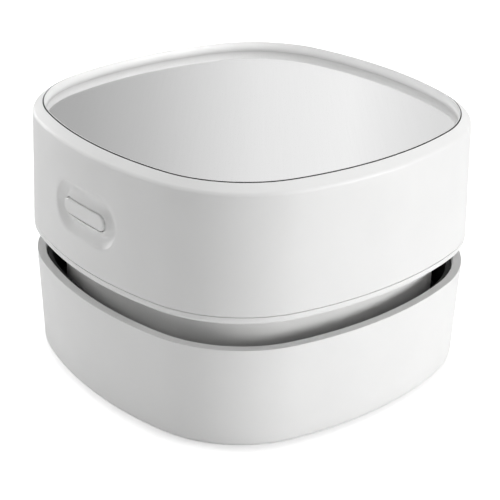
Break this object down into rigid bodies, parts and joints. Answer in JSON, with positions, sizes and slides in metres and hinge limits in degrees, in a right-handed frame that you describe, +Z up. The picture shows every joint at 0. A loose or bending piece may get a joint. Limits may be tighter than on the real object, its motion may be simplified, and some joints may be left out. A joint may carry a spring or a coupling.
{
  "type": "desktop mini vacuum cleaner",
  "caption": "Small desk vacuum: rounded-square head with a recessed silver panel and a front push button, on a neck above a dust case with a mouth and brush below.",
  "frame": {"origin": "on the desk, under the centre of the case", "axes": "+Z up through the fan's axis, -Y out of the button's face, +Y out of the charging socket"},
  "size_m": [0.0896, 0.0896, 0.059],
  "materials": {
    "case": "fine satin",
    "neck": "satin",
    "tape": "matte",
    "panel": "polished",
    "button": "satin",
    "cup": "satin",
    "base_plate": "matte",
    "brush": "matte",
    "bristle": "fibrous",
    "foot": "matte",
    "filter_frame": "matte",
    "filter_mesh": "fine weave",
    "seal": "matte",
    "fan": "satin",
    "motor_steel": "satin",
    "motor_plastic": "matte",
    "magnet": "matte",
    "bronze": "porous",
    "steel": "ground",
    "core": "laminated",
    "copper": "turned",
    "cell": "sleeved",
    "cell_end": "polished",
    "cradle": "matte",
    "board": "solder mask",
    "switch": "matte",
    "chip": "matte",
    "socket": "drawn",
    "tongue": "matte",
    "motor_lead": "smooth",
    "battery_lead": "smooth",
    "board_lead": "smooth",
    "screw": "zinc plated"
  },
  "bodies": {
    "base": {"lower_case": "case", "base_plate": "base_plate", "brush_ring": "brush", "bristles": "bristle", "glide_feet": "foot", "base_screws": "screw", "dust_cup": "cup", "intake_tube": "cup"},
    "filter": {"filter_frame": "filter_frame", "filter_mesh": "filter_mesh", "filter_seal": "seal"},
    "head": {"upper_case": "case", "panel_tape": "tape", "top_panel": "panel", "head_base": "case", "neck_housing": "neck", "impeller_cover": "fan", "motor_can": "motor_steel", "motor_cap": "motor_plastic", "motor_magnets": "magnet", "motor_bushes": "bronze", "motor_terminals": "copper", "battery_cell": "cell", "battery_ends": "cell_end", "battery_cradle": "cradle", "control_board": "board", "switch_body": "switch", "board_chips": "chip", "charge_board": "board", "charge_inlet": "socket", "inlet_tongue": "tongue", "motor_leads": "motor_lead", "battery_leads": "battery_lead", "board_leads": "board_lead", "cover_screws": "screw", "case_screws": "screw", "motor_screws": "screw"},
    "rotor": {"motor_shaft": "steel", "armature": "core", "commutator": "copper", "impeller": "fan"},
    "button": {"power_button": "button", "switch_plunger": "cradle"}
  },
  "joints": [
    {"name": "head_lift", "type": "slide", "parent": "base", "child": "head", "axis": [0, 0, 1], "range_m": [0, 0.04]},
    {"name": "filter_lift", "type": "slide", "parent": "base", "child": "filter", "axis": [0, 0, 1], "range_m": [0, 0.02]},
    {"name": "fan_spin", "type": "hinge", "parent": "head", "child": "rotor", "pos_m": [0, 0, 0.02], "axis": [0, 0, 1], "continuous": true},
    {"name": "button_press", "type": "slide", "parent": "head", "child": "button", "axis": [0, 1, 0], "range_m": [0, 0.0005], "stiffness_N_per_m": 800, "springref_m": -0.001}
  ],
  "couplings": [
    {"joint": "filter_lift", "follows": "head_lift", "ratio": 0.5}
  ]
}
